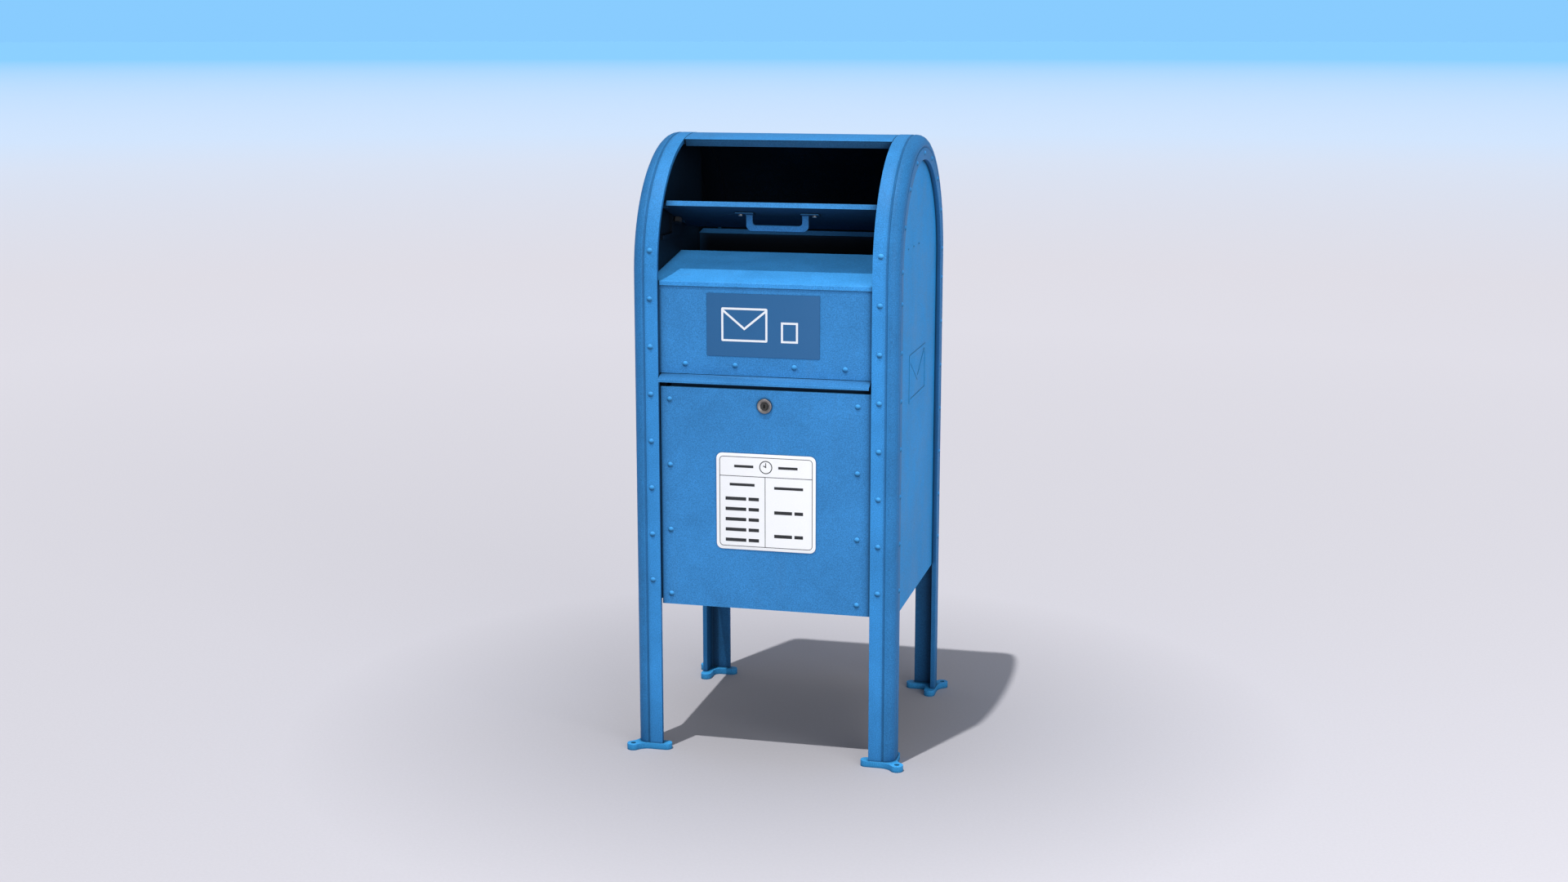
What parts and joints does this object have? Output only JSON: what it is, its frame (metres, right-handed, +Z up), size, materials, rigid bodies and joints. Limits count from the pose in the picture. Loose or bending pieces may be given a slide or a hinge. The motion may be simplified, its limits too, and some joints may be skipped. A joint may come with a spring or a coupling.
{
  "type": "post box",
  "caption": "Free-standing street letter box on four legs: arched frame, tilting hopper door with a bar handle, side-hung collection door with a cam lock.",
  "frame": {"origin": "on the floor, midway between the four feet", "axes": "+Z up, front and hopper opening towards -Y, +X to the viewer's right when facing the front"},
  "size_m": [0.588, 0.588, 1.27],
  "materials": {
    "blue_paint": "semi-gloss enamel, slightly worn",
    "inner_paint": "satin enamel",
    "label_blue": "satin",
    "white_enamel": "satin",
    "zinc_steel": "zinc plated",
    "lock_metal": "dull",
    "lock_plug": "dull, dark",
    "rubber": "matt"
  },
  "bodies": {
    "body": {"arch_left": "blue_paint", "arch_right": "blue_paint", "foot_front_left": "blue_paint", "foot_front_right": "blue_paint", "foot_rear_left": "blue_paint", "foot_rear_right": "blue_paint", "side_panel_left": "blue_paint", "side_panel_right": "blue_paint", "back_skin": "blue_paint", "crown_hem": "blue_paint", "upper_front_panel": "blue_paint", "sill_plate": "blue_paint", "drip_ledge": "blue_paint", "header_rail": "inner_paint", "hinge_post": "inner_paint", "strike_post": "inner_paint", "bottom_rail": "inner_paint", "floor_panel": "inner_paint", "hinge_frame_leaves": "zinc_steel", "hinge_pins": "zinc_steel", "liner_left": "inner_paint", "liner_right": "inner_paint", "pivot_bracket_left": "inner_paint", "pivot_bracket_right": "inner_paint", "wall_braces": "inner_paint", "pivot_pins": "zinc_steel", "rest_pads": "rubber", "rear_baffle": "inner_paint", "face_rivets": "blue_paint", "side_rivets": "blue_paint", "ledge_rivets": "blue_paint", "mail_label": "label_blue"},
    "collection_door": {"collection_door": "blue_paint", "door_stiffener": "inner_paint", "hinge_door_leaves": "zinc_steel", "door_rivets": "blue_paint", "lock_body": "lock_metal", "lock_nut": "lock_metal", "schedule_plate": "white_enamel"},
    "lock": {"lock_plug": "lock_plug", "lock_cam": "zinc_steel"},
    "hopper_door": {"hopper_door_pan": "blue_paint", "hopper_door_cover": "blue_paint", "hopper_handle": "blue_paint", "handle_screws": "zinc_steel"}
  },
  "joints": [
    {"name": "collection_door_hinge", "type": "hinge", "parent": "body", "child": "collection_door", "pos_m": [-0.208, -0.2545, 0.544], "axis": [0, 0, -1], "range_deg": [0, 86]},
    {"name": "lock_turn", "type": "hinge", "parent": "collection_door", "child": "lock", "pos_m": [0, -0.255, 0.74], "axis": [0, -1, 0], "range_deg": [0, 90]},
    {"name": "hopper_door_hinge", "type": "hinge", "parent": "body", "child": "hopper_door", "pos_m": [0, -0.06, 1.094], "axis": [-1, 0, 0], "range_deg": [0, 66]}
  ]
}
